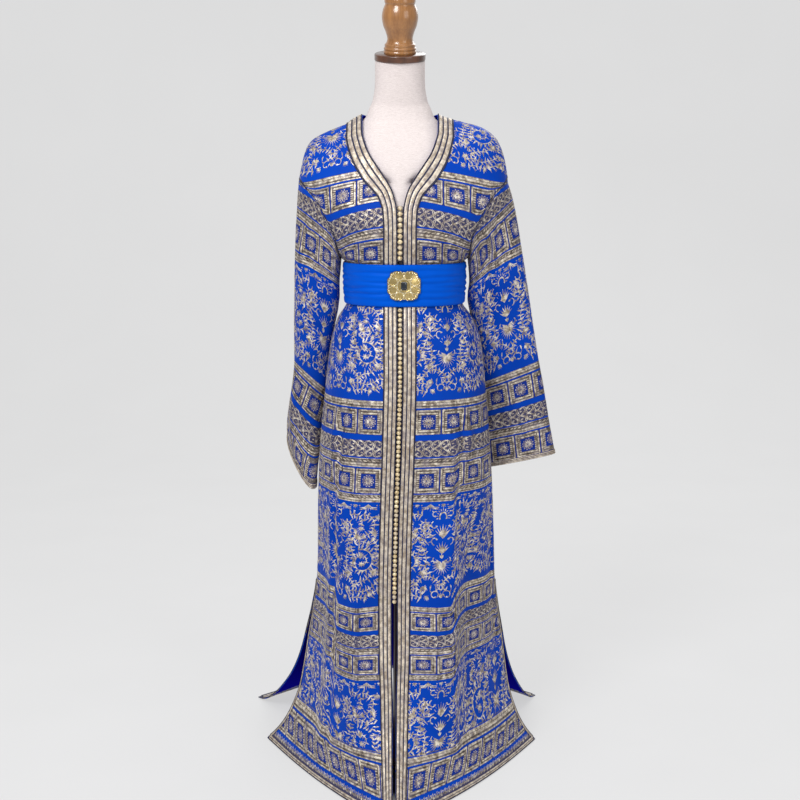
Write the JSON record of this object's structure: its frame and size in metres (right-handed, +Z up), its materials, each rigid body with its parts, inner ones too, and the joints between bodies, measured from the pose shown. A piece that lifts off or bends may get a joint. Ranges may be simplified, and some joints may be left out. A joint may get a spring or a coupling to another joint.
{
  "type": "kaftan on a dress form",
  "caption": "Long brocade kaftan with wide sleeves, braided front opening and pleated sash belt, worn on a limbless dress form with a turned finial and a round stand.",
  "frame": {"origin": "middle of the stand's flat underside, on the floor", "axes": "+Z up; the wearer's front faces -Y; +X is the viewer's right when looking at the front"},
  "size_m": [0.7201, 0.9616, 1.7294],
  "materials": {
    "brocade": "royal blue jacquard with pale gold metallic figures",
    "braid": "woven silver-gold stripes with dark blue lines",
    "buttons": "knotted gold cord",
    "satin": "azure satin",
    "buckle": "polished pierced gilt",
    "stone": "step-cut dark stone",
    "linen": "fine off-white linen",
    "wood": "turned and varnished",
    "dark_wood": "dark varnish"
  },
  "bodies": {
    "root": {"front_left": "brocade", "front_right": "brocade", "back": "brocade", "sleeve_left": "brocade", "sleeve_right": "brocade", "band_left": "braid", "band_right": "braid", "band_neck_back": "braid", "hem_braid_left": "braid", "hem_braid_right": "braid", "hem_braid_back": "braid", "cuff_braid_left": "braid", "cuff_braid_right": "braid", "buttons_upper": "buttons", "buttons_lower": "buttons", "belt": "satin", "buckle": "buckle", "buckle_stone": "stone", "form_torso": "linen", "form_neck_cap": "dark_wood", "form_finial": "wood", "stand_pole": "dark_wood", "stand_base": "dark_wood"}
  },
  "joints": []
}
